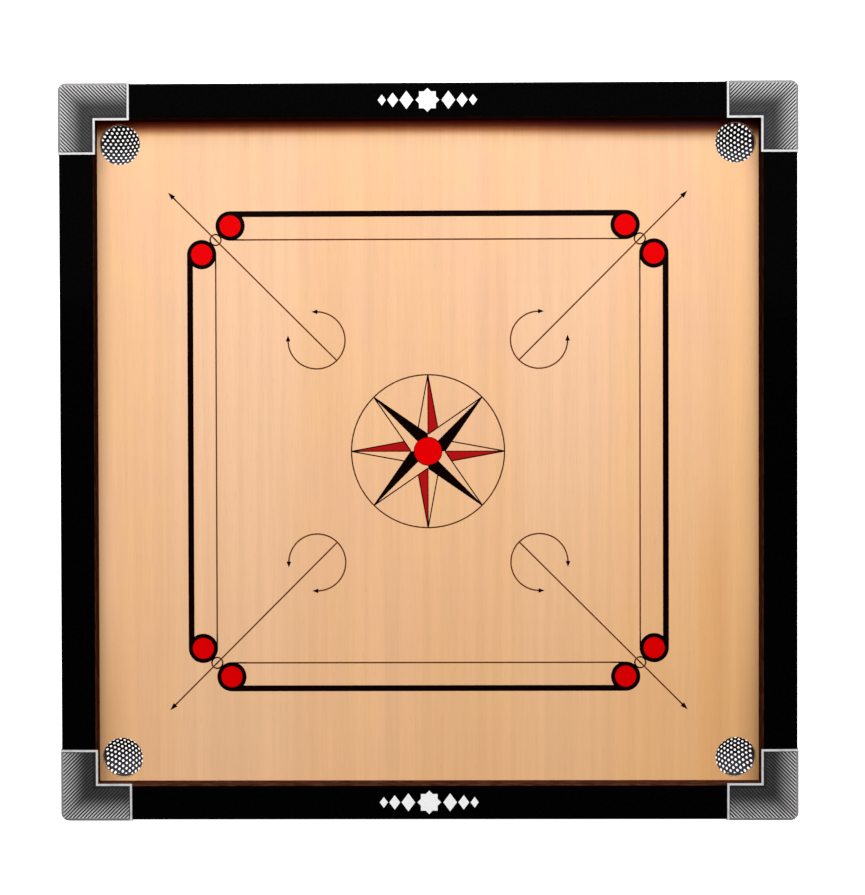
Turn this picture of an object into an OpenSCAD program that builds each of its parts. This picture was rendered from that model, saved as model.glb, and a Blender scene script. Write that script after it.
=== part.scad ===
// Full-size carrom board: a lacquered plywood playing panel held in a grooved and mitred
// hardwood frame, with four netted corner pockets, ribbed corner caps and cross battens below.
// The origin is at the middle of the underside. +Z is up and +Y runs to the back rail.

/* [Board] */
// Clear width of the playing surface between the rails
play_w = 733.4; // [725:0.2:745]
// Height of the playing surface above the table
surface_z = 30; // [28:1:34]
// Thickness of the playing panel
panel_t = 8; // [6:1:10]

/* [Frame] */
// Width of each rail
rail_w = 38.4; // [35:0.2:42]
// Height of each rail
rail_h = 50; // [48:1:56]
// Depth of the groove that holds the panel
groove_d = 10; // [8:1:12]
// Radius of the softened outer top edges of the rails
rail_edge_r = 1.8; // [1.5:0.1:2.4]

/* [Pockets] */
// Diameter of each pocket hole
pocket_d = 45; // [44:0.5:46]
// Gap between a pocket hole and the rails
pocket_gap = 2.8; // [2.4:0.1:6]
// Depth of each net's bowl below the ring's upper face
net_depth = 15; // [12:0.5:17]

/* [Corner caps] */
// Length of each arm of a cap, from its outer corner
cap_arm = 79; // [70:1:90]
// Thickness of the moulded shell of a cap
cap_t = 1.2; // [1:0.1:1.5]
// Width by which a cap stands over the inner edge of the rails
cap_overhang = 2; // [1:0.5:3]
// Outer radius of the vertical corner of a cap
cap_corner_r = 9; // [7:0.5:11]
// Height of the lower edge of the skirts above the table
cap_skirt_z = 6; // [4:1:12]
// Distance from one rib to the next
rib_pitch = 2.9; // [2.6:0.1:3.6]

/* [Printed layout] */
// Distance from the middle of the board to each thin base line
base_line_at = 235.3; // [230:0.1:240]
// Length of the base lines between the middles of their end circles
base_line_len = 438.2; // [430:0.1:442]
// Outer diameter of the base circles
base_circle_d = 32.6; // [30:0.1:33]
// Diameter of the large middle circle
centre_circle_d = 171.6; // [160:0.2:176]
// Diameter of the turning arcs on the corner arrows
arc_d = 65; // [60:0.5:68]

/* [Battens] */
// Width of each cross batten under the panel
batten_w = 40; // [30:1:60]

/* [Hidden] */
$fn = 64;
over = 1;
corners = [[1, 1], [-1, 1], [-1, -1], [1, -1]];
half_play = play_w / 2;
half_out = half_play + rail_w;
panel_z = surface_z - panel_t;
half_panel = half_play + groove_d;
inner_bevel = 1.2;
pocket_r = pocket_d / 2;
pocket_at = half_play - pocket_gap - pocket_r;

// Corner caps
cap_out = half_out + cap_t;
cap_top = rail_h + cap_t;
cap_notch = half_play - cap_overhang;
border_w = 2.3;
border_h = 0.9;
band_w = 3.6;
rib_h = 0.7;
rib_foot = 2;
rib_crest = 1;
rib_edge_gap = 3.4;

// Nets and the rings that clamp them. Each net is part of a hollow ball with a flat rim.
net_t = 1;
net_rim_r = pocket_r + 0.8;
net_ball_r = (net_rim_r ^ 2 + net_depth ^ 2) / (2 * net_depth);
ring_top = panel_z - net_t;
net_ball_z = ring_top - net_depth + net_ball_r;
ring_t = 2.2;
ring_in_r = pocket_r + 1.1;
ring_out_r = pocket_r + 4.5;
ring_flat = min(ring_out_r, pocket_r + pocket_gap - 0.2);
ear_at = ring_out_r + 1.7;
ear_r = 4.4;
ear_angles = [150, 225, 300];

// Battens
batten_z = 4;
batten_h = panel_z - batten_z;

// Fasteners: [shank radius, head radius, head depth, shank length]
ring_screw = [1.25, 2.8, 1.4, 8];
batten_screw = [1.75, 3.6, 2.2, 21];
mitre_screw = [2.1, 4.2, 2.8, 60];
cap_nail = [0.8, 2, 0.7, 11];
batten_screws_at = [90, 270];
mitre_screw_in = 16;
mitre_screw_zs = [11, 40];
cap_nails_at = [34, 64];
cap_nail_z = 26;

// Printed layout
ink_t = 0.12;
thick_line_w = 6.5;
thin_line_w = 1.6;
base_ring_w = 4.6;
base_mid = base_line_at + (base_circle_d - thin_line_w) / 2;
thick_line_mid = base_mid + (base_circle_d - thick_line_w) / 2;
corner_circle_d = 13.7;
arrow_tip = 288;
arrow_head = [8.5, 5.6];
arc_at = 123.5;
arc_r = arc_d / 2;
arc_head = [6.5, 5.2];
arrow_tail = arc_at - arc_r * sqrt(1 / 2);
centre_line_w = 1.5;
// The edges of a star point would meet just past the middle circle, which cuts the point off.
star_r = centre_circle_d / 2 + 3;
star_waist = 19.5;
star_line = 1.3;
star_axis_w = 1;
disc_d = 32;
disc_line_w = 0.8;

// Ornament on the front and back rails: the star's reach, then each lozenge's [place, reach, rise]
ornament_star_r = 13;
lozenges = [[23, 7.5, 10], [38, 6, 8], [50, 4.5, 6]];

// ---------- Shared shapes ----------

// Puts its children, made for the back right corner, at the corner named by a pair of signs.
module at_corner(signs) {
    mirror([signs[0] < 0 ? 1 : 0, 0, 0])
        mirror([0, signs[1] < 0 ? 1 : 0, 0])
            children();
}

// A square outline with rounded corners.
module rounded_square(half, r) {
    reach = half - r;
    square([2 * half, 2 * reach], center = true);
    square([2 * reach, 2 * half], center = true);
    for (signs = corners)
        translate([signs[0] * reach, signs[1] * reach])
            circle(r);
}

// A square slab with rounded upright corners and a rounded top edge.
module softened_slab(half, corner_r, edge_r, height) {
    inner = half - edge_r;
    reach = half - corner_r;
    linear_extrude(height - edge_r)
        rounded_square(half, corner_r);
    linear_extrude(height)
        rounded_square(inner, corner_r - edge_r);
    for (turn = [0 : 90 : 270])
        rotate([0, 0, turn])
            translate([0, 0, height - edge_r]) {
                translate([-reach, inner, 0])
                    rotate([0, 90, 0])
                        cylinder(r = edge_r, h = 2 * reach);
                translate([reach, reach, 0])
                    rotate_extrude(angle = 90)
                        translate([corner_r - edge_r, 0])
                            circle(edge_r);
            }
}

// The hole that a countersunk screw fills, along +Z from the face at z = 0.
module screw_hole(size, grow = 0) {
    cylinder(r = size[0] + grow, h = size[3]);
    cylinder(r1 = size[1] + grow, r2 = size[0] + grow, h = size[2]);
}

// The cross-shaped driver recess, cut along +Z from z = 0.
module cross_recess(size) {
    reach = size[1] * 0.62;
    width = size[1] * 0.26;
    for (turn = [0, 90])
        rotate([0, 0, turn])
            translate([-reach, -width / 2, -over])
                cube([2 * reach, width, size[2] * 0.6 + over]);
}

module countersunk_screw(size) {
    difference() {
        screw_hole(size);
        cross_recess(size);
    }
}

// A nail with a flat round head below z = 0.
module headed_nail(size) {
    cylinder(r = size[0], h = size[3]);
    translate([0, 0, -size[2]])
        cylinder(r = size[1], h = size[2]);
}

module pan_screw(size) {
    difference() {
        headed_nail(size);
        translate([0, 0, -size[2]])
            cross_recess(size);
    }
}

// ---------- Places of the fasteners ----------

module each_ring_screw() {
    for (signs = corners)
        at_corner(signs)
            for (angle = ear_angles)
                translate([pocket_at + ear_at * cos(angle), pocket_at + ear_at * sin(angle),
                    ring_top - ring_t])
                    children();
}

module each_batten_screw() {
    for (turn = [0 : 90 : 270])
        rotate([0, 0, turn])
            for (distance = batten_screws_at)
                translate([distance, 0, batten_z])
                    children();
}

// The mitre screws run along Y from the front and back faces into the side rails.
module each_mitre_screw() {
    for (signs = corners)
        at_corner(signs)
            for (z = mitre_screw_zs)
                translate([half_out - mitre_screw_in, half_out, z])
                    rotate([90, 0, 0])
                        children();
}

module each_cap_nail() {
    for (signs = corners)
        at_corner(signs)
            for (distance = cap_nails_at) {
                translate([cap_out - distance, cap_out, cap_nail_z])
                    rotate([90, 0, 0])
                        children();
                translate([cap_out, cap_out - distance, cap_nail_z])
                    rotate([0, -90, 0])
                        children();
            }
}

// ---------- Panel ----------

module playing_panel() {
    color("burlywood")
        difference() {
            translate([-half_panel, -half_panel, panel_z])
                cube([2 * half_panel, 2 * half_panel, panel_t]);
            for (signs = corners)
                translate([signs[0] * pocket_at, signs[1] * pocket_at, panel_z - over])
                    cylinder(r = pocket_r, h = panel_t + 2 * over);
            each_ring_screw()
                cylinder(r = ring_screw[0], h = ring_screw[3]);
            each_batten_screw()
                cylinder(r = batten_screw[0], h = batten_screw[3]);
        }
}

// ---------- Frame ----------

// A rail on the +X side, mitred at both ends and grooved for the panel.
module rail_blank() {
    difference() {
        intersection() {
            softened_slab(half_out, cap_corner_r - cap_t, rail_edge_r, rail_h);
            translate([0, 0, -over])
                linear_extrude(rail_h + 2 * over)
                    polygon([[half_play, -half_play], [half_out + over, -half_out - over],
                        [half_out + over, half_out + over], [half_play, half_play]]);
        }
        translate([0, -half_panel, panel_z])
            cube([half_panel, 2 * half_panel, panel_t]);
        translate([half_play, half_out, rail_h])
            rotate([90, 0, 0])
                linear_extrude(2 * half_out)
                    polygon([[-over, over], [-over, -inner_bevel], [0, -inner_bevel],
                        [inner_bevel, 0], [inner_bevel, over]]);
    }
}

// A finished rail, turned to its side of the board and drilled for its fasteners.
module rail(turn) {
    color("black")
        difference() {
            rotate([0, 0, turn])
                rail_blank();
            each_mitre_screw()
                screw_hole(mitre_screw, 0.01);
            each_cap_nail()
                cylinder(r = cap_nail[0], h = cap_nail[3]);
        }
}

module rail_right() rail(0);
module rail_back() rail(90);
module rail_left() rail(180);
module rail_front() rail(270);

// ---------- Corner caps ----------

// The L-shaped outline of a cap, drawn in from its arm ends, its notch and its outer faces.
module cap_outline(end_gap, notch_gap, outer_gap) {
    low = cap_out - cap_arm + end_gap;
    notch = cap_notch + notch_gap;
    high = cap_out - outer_gap;
    polygon([[low, notch], [notch, notch], [notch, low], [high, low], [high, high], [low, high]]);
}

// The raised border along the notch and the two arm ends.
module cap_border() {
    translate([0, 0, cap_top])
        linear_extrude(border_h)
            difference() {
                cap_outline(0, 0, 1.2);
                cap_outline(border_w, border_w, -over);
            }
}

// Straight ribs that run along the mitre and fill the top between the borders.
module cap_ribs() {
    reach = ceil(cap_arm * sqrt(1 / 2) / rib_pitch);
    intersection() {
        translate([0, 0, cap_top])
            linear_extrude(rib_h)
                cap_outline(border_w + 1, border_w + band_w, rib_edge_gap);
        translate([cap_out, cap_out, cap_top])
            rotate([0, 0, 45])
                rotate([90, 0, -90])
                    for (step = [-reach : reach])
                        translate([step * rib_pitch, 0, 0])
                            linear_extrude(2 * cap_arm)
                                polygon([[-rib_foot / 2, 0], [rib_foot / 2, 0],
                                    [rib_crest / 2, rib_h], [-rib_crest / 2, rib_h]]);
    }
}

module corner_cap(signs) {
    color("silver")
        at_corner(signs) {
            difference() {
                intersection() {
                    softened_slab(cap_out, cap_corner_r, rail_edge_r + cap_t, cap_top);
                    translate([0, 0, cap_skirt_z])
                        linear_extrude(cap_top)
                            cap_outline(0, 0, -over);
                }
                softened_slab(half_out, cap_corner_r - cap_t, rail_edge_r, rail_h);
                each_cap_nail()
                    cylinder(r = cap_nail[0], h = cap_nail[3]);
            }
            cap_border();
            cap_ribs();
        }
}

module corner_cap_front_left() corner_cap([-1, -1]);
module corner_cap_front_right() corner_cap([1, -1]);
module corner_cap_back_left() corner_cap([-1, 1]);
module corner_cap_back_right() corner_cap([1, 1]);

// ---------- Pockets ----------

// The net is a soft bowl whose rim lies between the ring and the panel.
module pocket_net(signs) {
    color("darkslategray")
        at_corner(signs)
            translate([pocket_at, pocket_at, 0])
                rotate_extrude()
                    difference() {
                        union() {
                            intersection() {
                                translate([0, net_ball_z])
                                    circle(net_ball_r);
                                square([net_ball_r, panel_z]);
                            }
                            translate([0, ring_top])
                                square([ring_flat, net_t]);
                        }
                        translate([0, net_ball_z])
                            circle(net_ball_r - net_t);
                        translate([-net_ball_r - over, 0])
                            square([net_ball_r + over, rail_h]);
                    }
}

// The ring clamps the net's rim to the underside of the panel. Two flats clear the rails.
module pocket_ring(signs) {
    color("dimgray")
        at_corner(signs)
            translate([pocket_at, pocket_at, ring_top - ring_t])
                linear_extrude(ring_t)
                    difference() {
                        union() {
                            intersection() {
                                circle(ring_out_r);
                                translate([-ring_out_r, -ring_out_r])
                                    square(ring_out_r + ring_flat);
                            }
                            for (angle = ear_angles)
                                rotate(angle) {
                                    translate([ear_at, 0])
                                        circle(ear_r);
                                    translate([ring_in_r + 1, -ear_r])
                                        square([ear_at - ring_in_r - 1, 2 * ear_r]);
                                }
                        }
                        circle(ring_in_r);
                        for (angle = ear_angles)
                            rotate(angle)
                                translate([ear_at, 0])
                                    circle(ring_screw[0]);
                    }
}

module pocket_net_front_left() pocket_net([-1, -1]);
module pocket_net_front_right() pocket_net([1, -1]);
module pocket_net_back_left() pocket_net([-1, 1]);
module pocket_net_back_right() pocket_net([1, 1]);
module pocket_ring_front_left() pocket_ring([-1, -1]);
module pocket_ring_front_right() pocket_ring([1, -1]);
module pocket_ring_back_left() pocket_ring([-1, 1]);
module pocket_ring_back_right() pocket_ring([1, 1]);

// ---------- Battens ----------

// A batten along X. The two battens cross in a half-lap joint at the middle of the board.
module batten(turn, notch_z) {
    color("peru")
        difference() {
            rotate([0, 0, turn])
                translate([-half_play, -batten_w / 2, batten_z])
                    cube([play_w, batten_w, batten_h]);
            translate([-batten_w / 2, -batten_w / 2, notch_z])
                cube([batten_w, batten_w, batten_h / 2]);
            each_batten_screw()
                screw_hole(batten_screw, 0.01);
        }
}

module batten_across() batten(0, batten_z + batten_h / 2);
module batten_along() batten(90, batten_z);

// ---------- Fasteners ----------

module ring_screws() color("silver") each_ring_screw() pan_screw(ring_screw);
module batten_screws() color("goldenrod") each_batten_screw() countersunk_screw(batten_screw);
module mitre_screws() color("goldenrod") each_mitre_screw() countersunk_screw(mitre_screw);
module cap_nails() color("silver") each_cap_nail() headed_nail(cap_nail);

// ---------- Printed layout ----------

module ring_2d(outer_d, width) {
    difference() {
        circle(d = outer_d);
        circle(d = outer_d - 2 * width);
    }
}

// A solid arrowhead whose tip is at the origin and points along +X.
module arrowhead(size) {
    polygon([[0, 0], [-size[0], size[1] / 2], [-size[0], -size[1] / 2]]);
}

// The two base lines on the +X side with their end circles.
module base_lines() {
    translate([thick_line_mid - thick_line_w / 2, -base_line_len / 2])
        square([thick_line_w, base_line_len]);
    translate([base_line_at - thin_line_w / 2, -base_line_len / 2])
        square([thin_line_w, base_line_len]);
}

// The arrow along the diagonal, its small corner circle and its turning arc.
module corner_arrow() {
    rotate(45) {
        translate([arrow_tail * sqrt(2), -thin_line_w / 2])
            square([(arrow_tip - arrow_tail) * sqrt(2) - arrow_head[0] / 2, thin_line_w]);
        translate([arrow_tip * sqrt(2), 0])
            arrowhead(arrow_head);
    }
    translate([base_line_at, base_line_at])
        ring_2d(corner_circle_d, thin_line_w);
    translate([arc_at, arc_at]) {
        difference() {
            ring_2d(arc_d, thin_line_w);
            square(arc_r + over);
        }
        translate([arc_head[0] - 1, arc_r - thin_line_w / 2])
            arrowhead(arc_head);
        translate([arc_r - thin_line_w / 2, arc_head[0] - 1])
            rotate(90)
                arrowhead(arc_head);
    }
}

// Half of one star point, to the left or right of its axis along +X.
module star_half(side) {
    waist = star_waist * sqrt(1 / 2);
    polygon([[0, 0], [star_r, 0], [waist, side * waist]]);
}

// The outline of a whole four-pointed star.
module star(turn) {
    for (quarter = [0 : 90 : 270])
        rotate(turn + quarter) {
            star_half(1);
            star_half(-1);
        }
}

// The narrow lines along the edges and the axis of each star point. They lie inside its edges.
module star_lines(turn) {
    waist = star_waist * sqrt(1 / 2);
    slope = atan2(waist, star_r - waist);
    length = norm([star_r - waist, waist]);
    intersection() {
        star(turn);
        for (quarter = [0 : 90 : 270])
            rotate(turn + quarter) {
                translate([0, -star_axis_w / 2])
                    square([star_r, star_axis_w]);
                for (side = [-1, 1])
                    translate([star_r, 0])
                        rotate(180 - side * slope)
                            translate([0, -star_line])
                                square([length, 2 * star_line]);
            }
    }
}

module filled_halves(turn) {
    for (quarter = [0 : 90 : 270])
        rotate(turn + quarter)
            star_half(-1);
}

module black_print() {
    color("black")
        translate([0, 0, surface_z])
            linear_extrude(ink_t) {
                difference() {
                    for (turn = [0 : 90 : 270])
                        rotate(turn)
                            base_lines();
                    for (turn = [0 : 90 : 270], end = [-1, 1])
                        rotate(turn)
                            translate([base_mid, end * base_line_len / 2])
                                circle(d = base_circle_d - base_ring_w);
                }
                for (turn = [0 : 90 : 270], end = [-1, 1])
                    rotate(turn)
                        translate([base_mid, end * base_line_len / 2])
                            ring_2d(base_circle_d, base_ring_w);
                for (turn = [0 : 90 : 270])
                    rotate(turn)
                        corner_arrow();
                ring_2d(centre_circle_d, centre_line_w);
                ring_2d(disc_d, disc_line_w);
                difference() {
                    intersection() {
                        circle(d = centre_circle_d);
                        union() {
                            star_lines(45);
                            filled_halves(45);
                            difference() {
                                star_lines(0);
                                star(45);
                            }
                        }
                    }
                    circle(d = disc_d);
                }
            }
}

module red_print() {
    color("red")
        translate([0, 0, surface_z])
            linear_extrude(ink_t) {
                circle(d = disc_d - 2 * disc_line_w);
                for (turn = [0 : 90 : 270], end = [-1, 1])
                    rotate(turn)
                        translate([base_mid, end * base_line_len / 2])
                            circle(d = base_circle_d - 2 * base_ring_w);
                difference() {
                    filled_halves(0);
                    star_lines(0);
                    star(45);
                    circle(d = disc_d);
                }
            }
}

// A plain ornament: an eight-pointed star between two rows of shrinking lozenges.
module ornament() {
    for (turn = [0, 45])
        rotate(turn)
            square(ornament_star_r * sqrt(2), center = true);
    for (side = [-1, 1], lozenge = lozenges)
        translate([side * lozenge[0], 0])
            polygon([[-lozenge[1], 0], [0, lozenge[2]], [lozenge[1], 0], [0, -lozenge[2]]]);
}

module rail_print() {
    color("white")
        for (turn = [0, 180])
            rotate([0, 0, turn])
                translate([0, half_play + rail_w / 2, rail_h])
                    linear_extrude(ink_t)
                        ornament();
}

// ---------- Assembly ----------

playing_panel();
rail_front();
rail_back();
rail_left();
rail_right();
corner_cap_front_left();
corner_cap_front_right();
corner_cap_back_left();
corner_cap_back_right();
pocket_net_front_left();
pocket_net_front_right();
pocket_net_back_left();
pocket_net_back_right();
pocket_ring_front_left();
pocket_ring_front_right();
pocket_ring_back_left();
pocket_ring_back_right();
batten_across();
batten_along();
ring_screws();
batten_screws();
mitre_screws();
cap_nails();
black_print();
red_print();
rail_print();
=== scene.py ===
"""A full-size carrom board on a white floor, seen from straight above.

The board's structure, caps and printed layout are the frame's own nodes with new materials.
The four knitted pocket nets are built here, in the bowls that the frame holds for them.
"""
import math
import bmesh
import bpy
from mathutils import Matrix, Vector


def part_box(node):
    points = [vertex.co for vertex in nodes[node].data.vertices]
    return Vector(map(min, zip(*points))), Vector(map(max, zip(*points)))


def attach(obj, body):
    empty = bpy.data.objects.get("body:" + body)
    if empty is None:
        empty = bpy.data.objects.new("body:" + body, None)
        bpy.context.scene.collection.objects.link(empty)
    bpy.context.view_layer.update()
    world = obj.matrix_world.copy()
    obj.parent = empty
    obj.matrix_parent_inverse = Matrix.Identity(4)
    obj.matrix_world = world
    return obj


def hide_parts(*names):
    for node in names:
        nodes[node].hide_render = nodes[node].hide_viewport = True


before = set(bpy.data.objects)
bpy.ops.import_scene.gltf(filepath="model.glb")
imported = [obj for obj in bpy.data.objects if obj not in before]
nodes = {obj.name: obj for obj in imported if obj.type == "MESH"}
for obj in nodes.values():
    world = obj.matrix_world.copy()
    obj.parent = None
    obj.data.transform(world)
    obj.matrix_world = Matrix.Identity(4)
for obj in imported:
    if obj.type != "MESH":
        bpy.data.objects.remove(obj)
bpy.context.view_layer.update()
MM = 0.001

# ---------- Places taken from the frame ----------

BORDER_RISE = 0.9 * MM
surface_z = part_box("playing_panel")[1].z
panel_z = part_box("playing_panel")[0].z
half_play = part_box("rail_right")[0].x
half_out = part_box("rail_right")[1].x
rail_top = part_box("rail_right")[1].z
cap_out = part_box("corner_cap_back_right")[1].x
cap_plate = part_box("corner_cap_back_right")[1].z - BORDER_RISE

# ---------- Places within the pockets and the printed layout ----------

POCKET_R = 22.5 * MM

# The thin base lines, where the rings at their ends begin, and the inside of the middle circle
BASE_LINE = 235.3 * MM
RINGS_FROM = 203 * MM
STAR_R = 84.8 * MM

# The smaller of |x| and |y| from which the heads of the diagonal arrows lie outwards, and the
# smaller and the larger of |x| and |y| between which the heads of the turning arcs lie
ARROWS_FROM = 279 * MM
ARC_HEAD_ALONG = (121.5 * MM, 129.5 * MM)
ARC_HEAD_OUT = (151 * MM, 160 * MM)

# ---------- Node trees ----------


def srgb(red, green, blue):
    """A colour given as 8-bit sRGB, as the linear colour that a shader takes."""
    def linear(value):
        value /= 255
        return value / 12.92 if value <= 0.04045 else ((value + 0.055) / 1.055) ** 2.4
    return (linear(red), linear(green), linear(blue), 1)


# The places of a colour Mix node's own sockets
FACTOR_IN, FIRST_IN, SECOND_IN, COLOUR_OUT = 0, 6, 7, 2


class Tree:
    """A material's node tree, with a short call for each kind of node that is used here."""

    def __init__(self, name, **shader):
        self.material = bpy.data.materials.new(name)
        self.material.use_nodes = True
        self.nodes = self.material.node_tree.nodes
        self.links = self.material.node_tree.links
        self.shader = self.nodes["Principled BSDF"]
        for key, value in shader.items():
            self.shader.inputs[key.replace("_", " ")].default_value = value
        self.place = self.nodes.new("ShaderNodeTexCoord").outputs["Object"]
        self.tone = None
        split = self.nodes.new("ShaderNodeSeparateXYZ")
        self.links.new(self.place, split.inputs[0])
        self.x, self.y, self.z = split.outputs

    def put(self, value, socket):
        """Sets a socket to a plain value, or links it to another socket."""
        if isinstance(value, bpy.types.NodeSocket):
            self.links.new(value, socket)
        else:
            socket.default_value = value

    def math(self, operation, *values):
        node = self.nodes.new("ShaderNodeMath")
        node.operation = operation
        for value, socket in zip(values, node.inputs):
            self.put(value, socket)
        return node.outputs[0]

    def product(self, first, *others):
        """All of the values multiplied together."""
        for value in others:
            first = self.math("MULTIPLY", first, value)
        return first

    def distance(self, value, middle=0.0):
        """How far a value is from a middle one, to either side."""
        return self.math("ABSOLUTE", self.math("SUBTRACT", value, middle))

    def inside(self, value, low, high):
        """1 where a value lies between two limits, and 0 elsewhere."""
        return self.product(
            self.math("GREATER_THAN", value, low), self.math("LESS_THAN", value, high)
        )

    def remap(self, value, low, high, to_low=0.0, to_high=1.0):
        """Low to high becomes to_low to to_high along a smooth step, held at its ends."""
        node = self.nodes.new("ShaderNodeMapRange")
        node.interpolation_type = "SMOOTHSTEP"
        for item, socket in zip((value, low, high, to_low, to_high), node.inputs):
            self.put(item, socket)
        return node.outputs["Result"]

    def noise(self, stretch, detail, rough=0.5, warp=0.0):
        """Noise, from about 0.2 to 0.8, with the coordinates stretched by three factors."""
        mapping = self.nodes.new("ShaderNodeMapping")
        mapping.inputs["Scale"].default_value = stretch
        self.links.new(self.place, mapping.inputs["Vector"])
        node = self.nodes.new("ShaderNodeTexNoise")
        node.inputs["Scale"].default_value = 1
        node.inputs["Detail"].default_value = detail
        node.inputs["Roughness"].default_value = rough
        node.inputs["Distortion"].default_value = warp
        self.links.new(mapping.outputs[0], node.inputs["Vector"])
        return node.outputs["Fac"]

    def mix(self, factor, first, second, blend="MIX"):
        """A blend of two colours. The node's other sockets are for numbers and vectors."""
        node = self.nodes.new("ShaderNodeMix")
        node.data_type = "RGBA"
        node.blend_type = blend
        for value, socket in ((factor, FACTOR_IN), (first, FIRST_IN), (second, SECOND_IN)):
            self.put(value, node.inputs[socket])
        return node.outputs[COLOUR_OUT]

    def grey(self, value):
        """A value as a grey colour."""
        node = self.nodes.new("ShaderNodeCombineColor")
        for socket in node.inputs:
            self.put(value, socket)
        return node.outputs[0]

    def colour(self, value):
        """Gives the shader its base colour, and keeps it as the tree's tone."""
        self.tone = value
        self.put(value, self.shader.inputs["Base Color"])

    def roughness(self, value):
        self.put(value, self.shader.inputs["Roughness"])

    def bump(self, height, rise):
        node = self.nodes.new("ShaderNodeBump")
        node.inputs["Distance"].default_value = rise
        node.inputs["Strength"].default_value = 1
        self.put(height, node.inputs["Height"])
        self.links.new(node.outputs[0], self.shader.inputs["Normal"])

    def radius(self):
        """How far a point is from the board's middle, seen from above."""
        squares = self.math("ADD", self.product(self.x, self.x), self.product(self.y, self.y))
        return self.math("SQRT", squares)

    def outward(self):
        """The larger of |x| and |y|: how far out a point is towards the nearest side."""
        return self.math("MAXIMUM", self.distance(self.x), self.distance(self.y))


# ---------- Materials ----------


def veneer_tone_and_shade(tree):
    """The veneer's broad colours and some painted shade, with places in metres from the middle of
    the board.
    """
    bands = tree.noise((11, 0.5, 1), detail=2)
    blotches = tree.noise((15, 9, 1), detail=4, warp=0.4)
    tone = tree.mix(tree.remap(blotches, 0.35, 0.65), srgb(226, 179, 144), srgb(228, 183, 140))
    tone = tree.mix(tree.remap(bands, 0.4, 0.62, 0, 0.25), tone, srgb(220, 171, 123))

    # Two paler leaves of veneer run from front to back and fade towards the back rail.
    calm = tree.remap(tree.y, 0.34, 0.12, 0.3, 1)
    for middle, width in ((-0.215, 0.095), (0.15, 0.075)):
        leaf = tree.remap(tree.distance(tree.x, middle), width * 0.4, width, 0.8, 0)
        tone = tree.mix(tree.product(leaf, calm), tone, srgb(229, 187, 154))

    # The lacquer has browned towards the right and the front right, in a stripe on the right and
    # along the back half of the left edge. Towards the front the wood is browner and darkened by
    # painted shade, and painted shade darkens the front corners by the side rails.
    stripe = tree.remap(tree.distance(tree.x, 0.317), 0.008, 0.026, 0.25, 0)
    painted_side_shade = tree.remap(tree.distance(tree.x), 0.325, 0.36)
    for amount, colour in (
        (tree.remap(tree.x, 0.29, 0.36, 0, 0.6), srgb(224, 174, 124)),
        # Painted shade, with a browner tone: darker towards the front
        (tree.remap(tree.y, 0.36, -0.36, 0, 0.5), srgb(222, 171, 120)),
        (tree.product(tree.remap(tree.x, -0.1, 0.36), tree.remap(tree.y, 0.2, -0.36), 0.4),
         srgb(214, 162, 100)),
        (tree.product(stripe, tree.remap(tree.y, 0, -0.15)), srgb(200, 135, 70)),
        (tree.product(tree.remap(tree.x, -0.33, -0.36, 0, 0.15), tree.remap(tree.y, -0.1, 0.1)),
         srgb(226, 170, 95)),
        # Painted shade: darker in the front corners by the side rails
        (tree.product(painted_side_shade, tree.remap(tree.y, -0.12, -0.34, 0, 0.55)), srgb(188, 138, 90)),
    ):
        tone = tree.mix(amount, tone, colour)
    return tone


def veneer_grain(tree, tone, fibres):
    """Fine fibres, soft streaks and short dark pores, laid over a tone."""
    streaks = tree.noise((95, 1.6, 40), detail=3, warp=0.3)
    pores = tree.noise((1500, 55, 300), detail=1)
    shade = tree.math(
        "ADD", tree.remap(fibres, 0.3, 0.7, 0.97, 1.015),
        tree.remap(streaks, 0.3, 0.7, -0.035, 0.03)
    )
    tone = tree.mix(1.0, tone, tree.grey(shade), "MULTIPLY")
    return tree.mix(tree.remap(pores, 0.64, 0.72, 0, 0.14), tone, srgb(160, 106, 70))


def painted_back_rail_shadow(tree):
    """Painted shadow of the back rail: a red-brown shade along it, deeper to the right, with
    painted light lifting its red at the left end.
    """
    right = tree.remap(tree.x, -0.05, 0.33)
    shift = tree.remap(right, 0, 1, 1.2 * MM, -2 * MM)
    run = tree.math("ADD", tree.math("SUBTRACT", half_play, tree.y), shift)
    # Painted light above 1 at the left end, painted shade below 1 at the right end
    level = tree.remap(run, 0, 26 * MM, tree.remap(right, 0, 1, 1.3, 0.3), 1)
    green = tree.product(level, tree.remap(run, -0.5 * MM, 20.5 * MM, 0.04, 1))
    blue = tree.product(level, tree.remap(run, 4 * MM, 22 * MM, 0.04, 1))
    line = tree.nodes.new("ShaderNodeCombineColor")
    for value, socket in zip((level, green, blue), line.inputs):
        tree.put(value, socket)
    return line.outputs[0]


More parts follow.
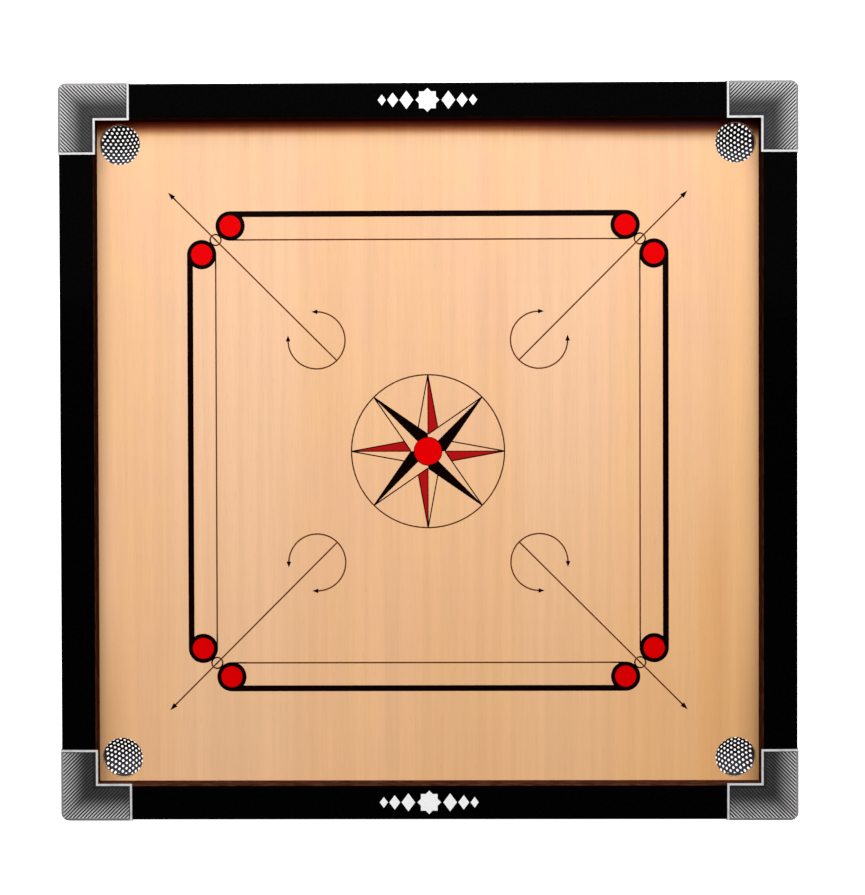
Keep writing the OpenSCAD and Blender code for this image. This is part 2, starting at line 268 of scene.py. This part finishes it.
def playing_wood():
    """Lacquered pale veneer with its grain along Y, painted shade along the back rail and towards
    the front, over plywood that shows in the pockets.
    """
    two_plies = 2.3 * MM
    tree = Tree("playing_wood", Specular_IOR_Level=0.12, Coat_Weight=0.12, Coat_Roughness=0.12)
    fibres = tree.noise((900, 16, 300), detail=4, rough=0.6)
    tone = veneer_grain(tree, veneer_tone_and_shade(tree), fibres)
    # Painted shadow along the back rail, multiplied into the veneer's colour
    tone = tree.mix(1.0, tone, painted_back_rail_shadow(tree), "MULTIPLY")

    # The layers of the plywood show on the walls of the pocket holes, and its back is bare.
    depth = tree.product(tree.math("SUBTRACT", surface_z, tree.z), 1 / two_plies)
    layer = tree.remap(tree.math("FRACT", depth), 0.44, 0.56)
    wall = tree.mix(layer, srgb(222, 176, 128), srgb(172, 124, 84))
    below = tree.remap(tree.z, surface_z - 0.35 * MM, surface_z - 0.15 * MM, 1, 0)
    bare = tree.mix(tree.remap(fibres, 0.3, 0.7), srgb(186, 142, 100), srgb(206, 166, 122))
    under = tree.remap(tree.z, panel_z + 0.02 * MM, panel_z + 0.1 * MM, 1, 0)
    tree.colour(tree.mix(under, tree.mix(below, tone, wall), bare))
    tree.roughness(tree.math(
        "ADD", tree.remap(fibres, 0.3, 0.7, 0.28, 0.36), tree.product(below, 0.35)
    ))
    tree.bump(fibres, 0.02 * MM)
    return tree.material


def rail_lacquer():
    """Black lacquer over open-pored wood, dark red-brown on the inner faces, with painted shade on
    the back rail's inner face.
    """
    tree = Tree("rail_lacquer", Specular_IOR_Level=0.0, Coat_Roughness=0.1)
    grain = tree.noise((300, 300, 300), detail=3)
    pores = tree.noise((60, 60, 260), detail=3, warp=0.5)
    scuffs = tree.noise((420, 420, 420), detail=4, rough=0.7)
    inner = tree.remap(tree.outward(), half_play + 0.3 * MM, half_play + 1.4 * MM, 1, 0)
    inner_colour = tree.mix(tree.remap(pores, 0.35, 0.65), srgb(52, 24, 16), srgb(78, 44, 30))
    # Painted shade: the back rail's inner face, turned away from the lamps, is darkened towards
    # black, fading out towards the front.
    front = tree.remap(tree.y, 0.34, -0.36)
    inner_colour = tree.mix(front, tree.mix(0.7, inner_colour, srgb(20, 4, 3)), inner_colour)
    black = tree.mix(tree.remap(grain, 0.3, 0.7), srgb(1, 1, 1), srgb(3, 3, 3))
    arris = tree.remap(tree.outward(), half_out - 1.3 * MM, half_out - 0.2 * MM)
    worn = tree.product(arris, tree.remap(scuffs, 0.58, 0.7, 0, 0.6))
    black = tree.mix(worn, black, srgb(44, 30, 24))
    tree.colour(tree.mix(inner, black, inner_colour))
    tree.roughness(tree.remap(pores, 0.3, 0.7, 0.6, 0.75))
    gloss = tree.remap(tree.z, rail_top - 1.5 * MM, rail_top - 0.2 * MM, 0.3, 0.04)
    coated = tree.product(gloss, tree.remap(inner, 0, 1, 1, 0))
    tree.put(coated, tree.shader.inputs["Coat Weight"])
    tree.bump(pores, 0.03 * MM)
    return tree.material


def cap_plastic():
    """Silver-painted ribs and border on dark moulded plastic, with painted light that brightens it
    towards the outer edges, a painted highlight along the rounded outer edge, and valleys darkened
    partly by painted shade.
    """
    tree = Tree("cap_plastic", Specular_IOR_Level=0.2)
    speckle = tree.noise((2400, 2400, 2400), detail=2)
    patches = tree.noise((90, 90, 90), detail=3)
    inset = tree.math("SUBTRACT", cap_out, tree.outward())
    # The crests take the silver paint; the dark valleys are partly the plastic and partly painted
    # shade
    crest = tree.remap(tree.z, cap_plate + 0.1 * MM, cap_plate + 0.6 * MM)
    border = tree.remap(tree.z, cap_plate + 0.72 * MM, cap_plate + 0.8 * MM)
    # Painted light: the ribs are lighter towards the cap's outer edges
    painted_outer_light = tree.remap(inset, 4 * MM, 29 * MM, 1, 0.08)
    rib = tree.mix(1.0, srgb(198, 197, 197), tree.grey(painted_outer_light), "MULTIPLY")
    # Painted highlight: the valleys turn light grey along the rounded outer edge
    edge = tree.remap(inset, 2.5 * MM, 5 * MM, 1, 0)
    valley = tree.mix(edge, srgb(27, 26, 29), srgb(132, 131, 132))
    tone = tree.mix(crest, valley, rib)
    tone = tree.mix(border, tone, srgb(208, 206, 207))
    side = tree.remap(tree.z, cap_plate - 1.5 * MM, cap_plate - 3 * MM)
    tone = tree.mix(side, tone, srgb(122, 121, 123))
    tone = tree.mix(tree.remap(speckle, 0.4, 0.6, 0, 0.1), tone, srgb(84, 84, 86))
    tone = tree.mix(tree.remap(patches, 0.5, 0.7, 0, 0.18), tone, srgb(70, 70, 72))
    tree.colour(tone)
    tree.roughness(tree.remap(speckle, 0.3, 0.7, 0.42, 0.6))
    tree.bump(speckle, 0.02 * MM)
    return tree.material


def net_cord():
    """Dark slate knitted cord."""
    tree = Tree("net_cord", Specular_IOR_Level=0.2, Sheen_Weight=0.25, Sheen_Roughness=0.5)
    fuzz = tree.noise((2600, 2600, 2600), detail=2)
    twist = tree.noise((900, 1700, 900), detail=2)
    tree.colour(tree.mix(tree.remap(fuzz, 0.35, 0.65), srgb(28, 29, 37), srgb(46, 48, 60)))
    tree.roughness(tree.remap(fuzz, 0.3, 0.7, 0.7, 0.9))
    tree.bump(twist, 0.12 * MM)
    return tree.material


def ring_plastic():
    """Black moulded plastic with a fine texture."""
    tree = Tree("ring_plastic", Specular_IOR_Level=0.4)
    speckle = tree.noise((2600, 2600, 2600), detail=2)
    tree.colour(tree.mix(tree.remap(speckle, 0.35, 0.65), srgb(30, 30, 32), srgb(42, 42, 44)))
    tree.roughness(tree.remap(speckle, 0.3, 0.7, 0.45, 0.6))
    tree.bump(speckle, 0.03 * MM)
    return tree.material


def batten_wood():
    """Planed softwood, with a separate grain for each of the two directions."""
    tree = Tree("batten_wood", Specular_IOR_Level=0.3)
    across = tree.noise((9, 260, 160), detail=4, warp=0.3)
    along = tree.noise((260, 9, 160), detail=4, warp=0.3)
    turned = tree.math("GREATER_THAN", tree.distance(tree.y), tree.distance(tree.x))
    grain = tree.mix(turned, tree.grey(across), tree.grey(along))
    level = tree.remap(grain, 0.3, 0.7)
    tree.colour(tree.mix(level, srgb(176, 128, 80), srgb(214, 172, 120)))
    tree.roughness(tree.remap(grain, 0.3, 0.7, 0.55, 0.7))
    tree.bump(level, 0.15 * MM)
    return tree.material


def plated_steel(name, tint, dull):
    """A plated fastener with dull spots."""
    tree = Tree(name, Metallic=1.0)
    spots = tree.noise((700, 700, 700), detail=3)
    tree.colour(tree.mix(tree.remap(spots, 0.45, 0.7), tint, dull))
    tree.roughness(tree.remap(spots, 0.3, 0.7, 0.26, 0.45))
    tree.bump(spots, 0.03 * MM)
    return tree.material


def ink(name, thick, thin):
    """Screen-printed ink, a little uneven in its cover."""
    tree = Tree(name, Specular_IOR_Level=0.03)
    cover = tree.noise((500, 500, 500), detail=3)
    tree.colour(tree.mix(tree.remap(cover, 0.4, 0.75), thick, thin))
    tree.roughness(tree.remap(cover, 0.3, 0.7, 0.14, 0.22))
    tree.bump(cover, 0.01 * MM)
    return tree


def black_ink():
    """Black on the thick lines, rings, arrowheads and star, and worn brown on the thin lines."""
    tree = ink("black_ink", srgb(8, 1, 1), srgb(16, 4, 2))
    out = tree.outward()
    along = tree.math("MINIMUM", tree.distance(tree.x), tree.distance(tree.y))
    by_rings = tree.math("GREATER_THAN", along, RINGS_FROM)
    edge = tree.remap(by_rings, 0, 1, BASE_LINE + 1 * MM, BASE_LINE - 1.2 * MM)
    full = tree.math("LESS_THAN", tree.radius(), STAR_R)
    for part in (
        tree.product(
            tree.math("GREATER_THAN", out, edge),
            tree.math("LESS_THAN", along, BASE_LINE + 1.2 * MM)
        ),
        tree.math("GREATER_THAN", along, ARROWS_FROM),
        tree.product(tree.inside(along, *ARC_HEAD_ALONG), tree.inside(out, *ARC_HEAD_OUT)),
    ):
        full = tree.math("MAXIMUM", full, part)
    tree.colour(tree.mix(full, srgb(94, 48, 27), tree.tone))
    return tree.material


def red_ink():
    """Bright red on the round marks, a little darker towards the front, and a deeper red on the
    star.
    """
    tree = ink("red_ink", srgb(214, 0, 3), srgb(206, 2, 4))
    worn = tree.remap(tree.y, 0.1, -0.25, 0, 0.8)
    marks = tree.mix(worn, tree.tone, srgb(204, 0, 2))
    star = tree.inside(tree.radius(), 16 * MM, 100 * MM)
    tree.colour(tree.mix(star, marks, srgb(164, 17, 17)))
    return tree.material


# ---------- Pocket nets ----------

# The meshes stand in columns, and each column is half a row off from the next.
NET_COLUMN = 3.97 * MM
NET_ROW = 5.45 * MM
NET_HOLE_R = 1.27 * MM

# A mesh has six corners and a point in the middle of each of its sides.
MESH_POINTS = 12

NET_THICK = 0.8 * MM
NET_WELD = 0.05 * MM

# At the rim: cord outside the last holes, how far outside the pocket hole the cloth bends, how
# far inside the plain bowl's edge it ends, and the share by which it is wider flat than hung.
NET_HEM = 0.5 * MM
NET_RIM_GAP = 0.5 * MM
NET_EDGE_GAP = 0.4 * MM
NET_GIVE = 0.048

# Half the thickness of the frame's plain bowls
BOWL_HALF = 0.5 * MM

# How far each net's columns are turned, in degrees
NET_TURNS = {
    "pocket_net_front_left": 3.5,
    "pocket_net_front_right": 3.5,
    "pocket_net_back_right": 3.5,
    "pocket_net_back_left": 92.5,
}


def net_cell():
    """One mesh of the net, about its middle: the points of its outline and of its hole."""
    near = (NET_COLUMN ** 2 - NET_ROW ** 2 / 4) / (2 * NET_COLUMN)
    far = (NET_COLUMN ** 2 + NET_ROW ** 2 / 4) / (2 * NET_COLUMN)
    corners = [(far, 0), (near, NET_ROW / 2), (-near, NET_ROW / 2), (-far, 0),
               (-near, -NET_ROW / 2), (near, -NET_ROW / 2)]
    outline = []
    for index, (x, y) in enumerate(corners):
        next_x, next_y = corners[(index + 1) % len(corners)]
        outline += [(x, y), ((x + next_x) / 2, (y + next_y) / 2)]
    hole = []
    for x, y in outline:
        size = math.hypot(x, y)
        hole.append((x / size * NET_HOLE_R, y / size * NET_HOLE_R))
    return outline, hole


class Bowl:
    """The middle surface of a hanging net: part of a ball, with a flat rim round it."""

    def __init__(self, name):
        low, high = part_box(name)
        self.middle = (low + high) / 2
        self.rim_r = POCKET_R + NET_RIM_GAP
        self.rim_z = high.z - BOWL_HALF
        depth = self.rim_z - low.z - BOWL_HALF
        self.ball_r = (self.rim_r ** 2 + depth ** 2) / (2 * depth)
        self.ball_z = self.rim_z - depth + self.ball_r
        # The knitted cloth stretches as it hangs, so it is hardly wider flat than the rim is.
        self.cloth_rim_r = self.rim_r / (1 - NET_GIVE)
        self.cloth_r = self.cloth_rim_r + high.x - self.middle.x - self.rim_r - NET_EDGE_GAP

    def drape(self, x, y):
        """Where a point of the flat cloth comes to once it hangs."""
        reach = math.hypot(x, y)
        if reach < self.cloth_rim_r:
            scale = 1 - NET_GIVE * (reach / self.cloth_rim_r) ** 2
            z = self.ball_z - math.sqrt(self.ball_r ** 2 - (reach * scale) ** 2)
        else:
            scale = (self.rim_r + reach - self.cloth_rim_r) / reach
            z = self.rim_z
        return self.middle.x + x * scale, self.middle.y + y * scale, z


def net_cells(reach):
    """The middles of all the meshes whose holes lie mostly within a flat round cloth."""
    count = math.ceil(reach / NET_COLUMN)
    for column in range(-count, count + 1):
        for row in range(-count, count + 1):
            x = column * NET_COLUMN
            y = (row + column % 2 / 2) * NET_ROW
            if math.hypot(x, y) < reach - NET_HOLE_R / 2:
                yield x, y


def within(x, y, reach):
    """A point of a mesh, drawn in to the edge of the cloth where it would lie beyond it."""
    scale = min(1, reach / max(math.hypot(x, y), reach / 2))
    return x * scale, y * scale


def pocket_net(name, turn, material):
    """A knitted net that hangs from under the panel, in place of the plain bowl of that name."""
    bowl = Bowl(name)
    rings = net_cell()
    cosine, sine = math.cos(math.radians(turn)), math.sin(math.radians(turn))
    mesh = bmesh.new()
    cells = list(net_cells(bowl.cloth_r))
    for cell_x, cell_y in cells:
        outline, hole = [], []
        reaches = (bowl.cloth_r, bowl.cloth_r - NET_HEM)
        for points, verts, reach in zip(rings, (outline, hole), reaches):
            for x, y in points:
                x, y = within(x + cell_x, y + cell_y, reach)
                place = bowl.drape(x * cosine - y * sine, x * sine + y * cosine)
                verts.append(mesh.verts.new(place))
        for index in range(MESH_POINTS):
            after = (index + 1) % MESH_POINTS
            mesh.faces.new((outline[index], outline[after], hole[after], hole[index]))
    bmesh.ops.remove_doubles(mesh, verts=mesh.verts, dist=NET_WELD)
    bmesh.ops.recalc_face_normals(mesh, faces=mesh.faces)
    for face in mesh.faces:
        face.smooth = True
    data = bpy.data.meshes.new("net_" + name)
    mesh.to_mesh(data)
    mesh.free()
    data.materials.append(material)
    net = bpy.data.objects.new("knitted_" + name, data)
    bpy.context.scene.collection.objects.link(net)
    solid = net.modifiers.new("thickness", "SOLIDIFY")
    solid.thickness = NET_THICK
    solid.offset = 0
    smooth = net.modifiers.new("round", "SUBSURF")
    smooth.levels = smooth.render_levels = 1
    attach(net, "root")
    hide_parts(name)


# ---------- The frame's own nodes ----------


def dress(material, *names):
    """Gives CAD nodes a material."""
    for name in names:
        slots = nodes[name].data.materials
        slots.clear()
        slots.append(material)


def named(start):
    """The names of the CAD nodes that start in a given way."""
    return sorted(name for name in nodes if name.startswith(start))


# ---------- Camera, lights and floor ----------


CAMERA_LENS = 61.55
CAMERA_SENSOR = 36
CAMERA_SHIFT = (0.0453, -0.0517)
CAMERA_PLACE = (-26.8 * MM, 74.6 * MM, surface_z + 1.7)
CAMERA_DEGREES = (-0.641, 0.440, -0.170)
FLOOR_SIZE = 40
FLOOR_GAP = 0.2 * MM

# Rectangular lights behind the back rail: place, target, width and depth, and watts
LIGHTS = {
    "key": ((0, 2.75, 3.2), (0, 2.48, 0), (3.48, 1.18), 113),
    "fill": ((0, 3.12, 3.2), (0, 2.8, 0), (6.88, 3.6), 313),
    "soft": ((0, 0.73, 3.2), (0, 0.73, 0), (6.7, 0.8), 11),
}


def make_camera():
    """Almost straight above the board and 1.7 m over the playing surface."""
    data = bpy.data.cameras.new("camera")
    data.lens = CAMERA_LENS
    data.sensor_width = CAMERA_SENSOR
    data.shift_x, data.shift_y = CAMERA_SHIFT
    camera = bpy.data.objects.new("camera", data)
    camera.location = CAMERA_PLACE
    camera.rotation_euler = [math.radians(angle) for angle in CAMERA_DEGREES]
    bpy.context.scene.collection.objects.link(camera)
    bpy.context.scene.camera = camera


def area_light(name, place, target, size, power):
    data = bpy.data.lights.new(name, "AREA")
    data.shape = "RECTANGLE"
    data.size, data.size_y = size
    data.energy = power
    light = bpy.data.objects.new(name, data)
    light.location = place
    light.rotation_euler = (Vector(target) - Vector(place)).to_track_quat("-Z", "Y").to_euler()
    bpy.context.scene.collection.objects.link(light)


def make_floor():
    """A wide white floor just under the rails, which glows a little as a light table does."""
    bpy.ops.mesh.primitive_plane_add(size=FLOOR_SIZE, location=(0, 0, -FLOOR_GAP))
    floor = bpy.context.object
    floor.name = "floor"
    tree = Tree("floor_white", Roughness=0.9, Specular_IOR_Level=0.1, Emission_Strength=1.1)
    tree.colour(srgb(235, 235, 235))
    tree.shader.inputs["Emission Color"].default_value = (1, 1, 1, 1)
    floor.data.materials.append(tree.material)


def make_world():
    world = bpy.data.worlds.new("studio")
    world.use_nodes = True
    sky = world.node_tree.nodes["Background"]
    sky.inputs["Color"].default_value = (1, 1, 1, 1)
    sky.inputs["Strength"].default_value = 0.035
    bpy.context.scene.world = world
    bpy.context.scene.view_settings.view_transform = "Standard"


make_camera()
make_floor()
make_world()
for light_name, light in LIGHTS.items():
    area_light(light_name, *light)

zinc = plated_steel("zinc_steel", srgb(190, 192, 196), srgb(140, 142, 146))
brass = plated_steel("brass_steel", srgb(205, 172, 96), srgb(150, 120, 60))
dress(playing_wood(), "playing_panel")
dress(rail_lacquer(), "rail_front", "rail_back", "rail_left", "rail_right")
dress(cap_plastic(), *named("corner_cap"))
dress(ring_plastic(), *named("pocket_ring"))
dress(batten_wood(), "batten_across", "batten_along")
dress(zinc, "ring_screws", "cap_nails")
dress(brass, "batten_screws", "mitre_screws")
dress(black_ink(), "black_print")
dress(red_ink(), "red_print")
dress(ink("white_ink", srgb(240, 240, 240), srgb(228, 228, 228)).material, "rail_print")
cord = net_cord()
for net_name, net_turn in NET_TURNS.items():
    pocket_net(net_name, net_turn, cord)
